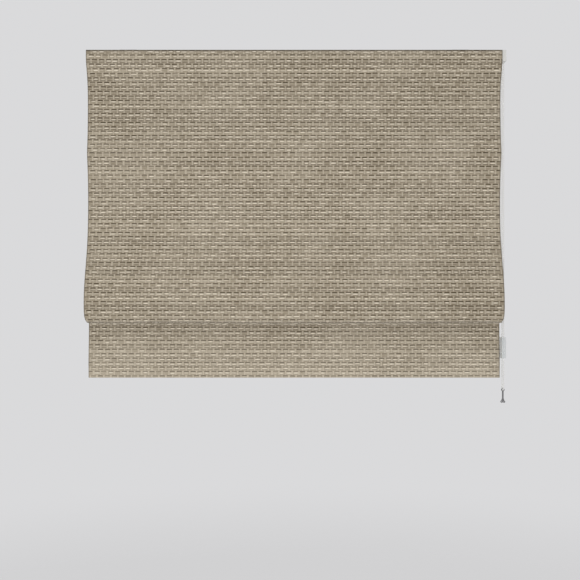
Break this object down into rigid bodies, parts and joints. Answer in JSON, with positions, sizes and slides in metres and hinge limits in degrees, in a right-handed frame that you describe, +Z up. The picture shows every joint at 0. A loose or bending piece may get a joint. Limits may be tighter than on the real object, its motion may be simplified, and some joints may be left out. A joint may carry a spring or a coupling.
{
  "type": "roman blind",
  "caption": "Woven Roman blind with lining, rods, lift cords on spools in a headrail and a bead chain drive, drawn up into one fold.",
  "frame": {"origin": "centre of the four screw holes of the top-fixing brackets, on the plane where the bracket plates meet the recess head", "axes": "+X along the blind's width towards the chain control, +Y from the cloth's face towards the window, +Z up"},
  "size_m": [1.2136, 0.0721, 1.023],
  "materials": {
    "woven_cloth": "matt",
    "lining_cloth": "matt",
    "tape": "matt",
    "loop_tape": "matt",
    "hook_tape": "matt",
    "rail_paint": "satin",
    "bracket_steel": "satin",
    "white_plastic": "satin",
    "grey_plastic": "satin",
    "spring_steel": "satin",
    "shaft_steel": "satin",
    "clear_plastic": "clear",
    "rod_fibreglass": "gloss",
    "bar_aluminium": "satin",
    "bar_caps": "satin",
    "cord": "matt",
    "chain": "gloss"
  },
  "bodies": {
    "rail": {"headrail": "rail_paint", "end_cap_left": "white_plastic", "control_housing": "white_plastic", "control_cover": "white_plastic", "clutch_core": "grey_plastic", "clutch_spring": "spring_steel", "bracket_left": "bracket_steel", "bracket_right": "bracket_steel", "hook_strip": "hook_tape", "loop_strip": "loop_tape", "spool_cradle_left": "white_plastic", "spool_cradle_centre": "white_plastic", "spool_cradle_right": "white_plastic", "face_fabric": "woven_cloth", "lining": "lining_cloth", "lift_cord_left": "cord", "lift_cord_centre": "cord", "lift_cord_right": "cord", "operating_chain": "chain", "chain_connector": "chain", "chain_guide": "clear_plastic", "chain_tidy": "grey_plastic"},
    "drive": {"drive_shaft": "shaft_steel", "spool_left": "white_plastic", "spool_centre": "white_plastic", "spool_right": "white_plastic", "chain_wheel": "grey_plastic"},
    "upper_rod": {"rod_upper": "rod_fibreglass", "rod_pocket_upper": "tape", "cord_rings_upper": "clear_plastic"},
    "middle_rod": {"rod_middle": "rod_fibreglass", "rod_pocket_middle": "tape", "cord_rings_middle": "clear_plastic"},
    "lower_panel": {"rod_lower": "rod_fibreglass", "rod_pocket_lower": "tape", "cord_anchors": "clear_plastic", "bottom_bar": "bar_aluminium", "bottom_bar_cap_left": "bar_caps", "bottom_bar_cap_right": "bar_caps"}
  },
  "joints": [
    {"name": "upper_rod_slide", "type": "slide", "parent": "rail", "child": "upper_rod", "axis": [0, 0, 1], "range_m": [0, 0.255], "deforming": ["face_fabric", "lining"]},
    {"name": "middle_rod_slide", "type": "slide", "parent": "upper_rod", "child": "middle_rod", "axis": [0, 0, 1], "range_m": [0, 0.285]},
    {"name": "lower_panel_slide", "type": "slide", "parent": "middle_rod", "child": "lower_panel", "axis": [0, 0, 1], "range_m": [-0.3, 0], "deforming": ["lift_cord_left", "lift_cord_centre", "lift_cord_right"]},
    {"name": "drive_spin", "type": "hinge", "parent": "rail", "child": "drive", "pos_m": [0, 0, -0.0191], "axis": [1, 0, 0], "range_deg": [-1911.9, 2]}
  ],
  "couplings": [
    {"joint": "drive_spin", "follows": "lower_panel_slide", "rad_per_m": 111.11}
  ]
}
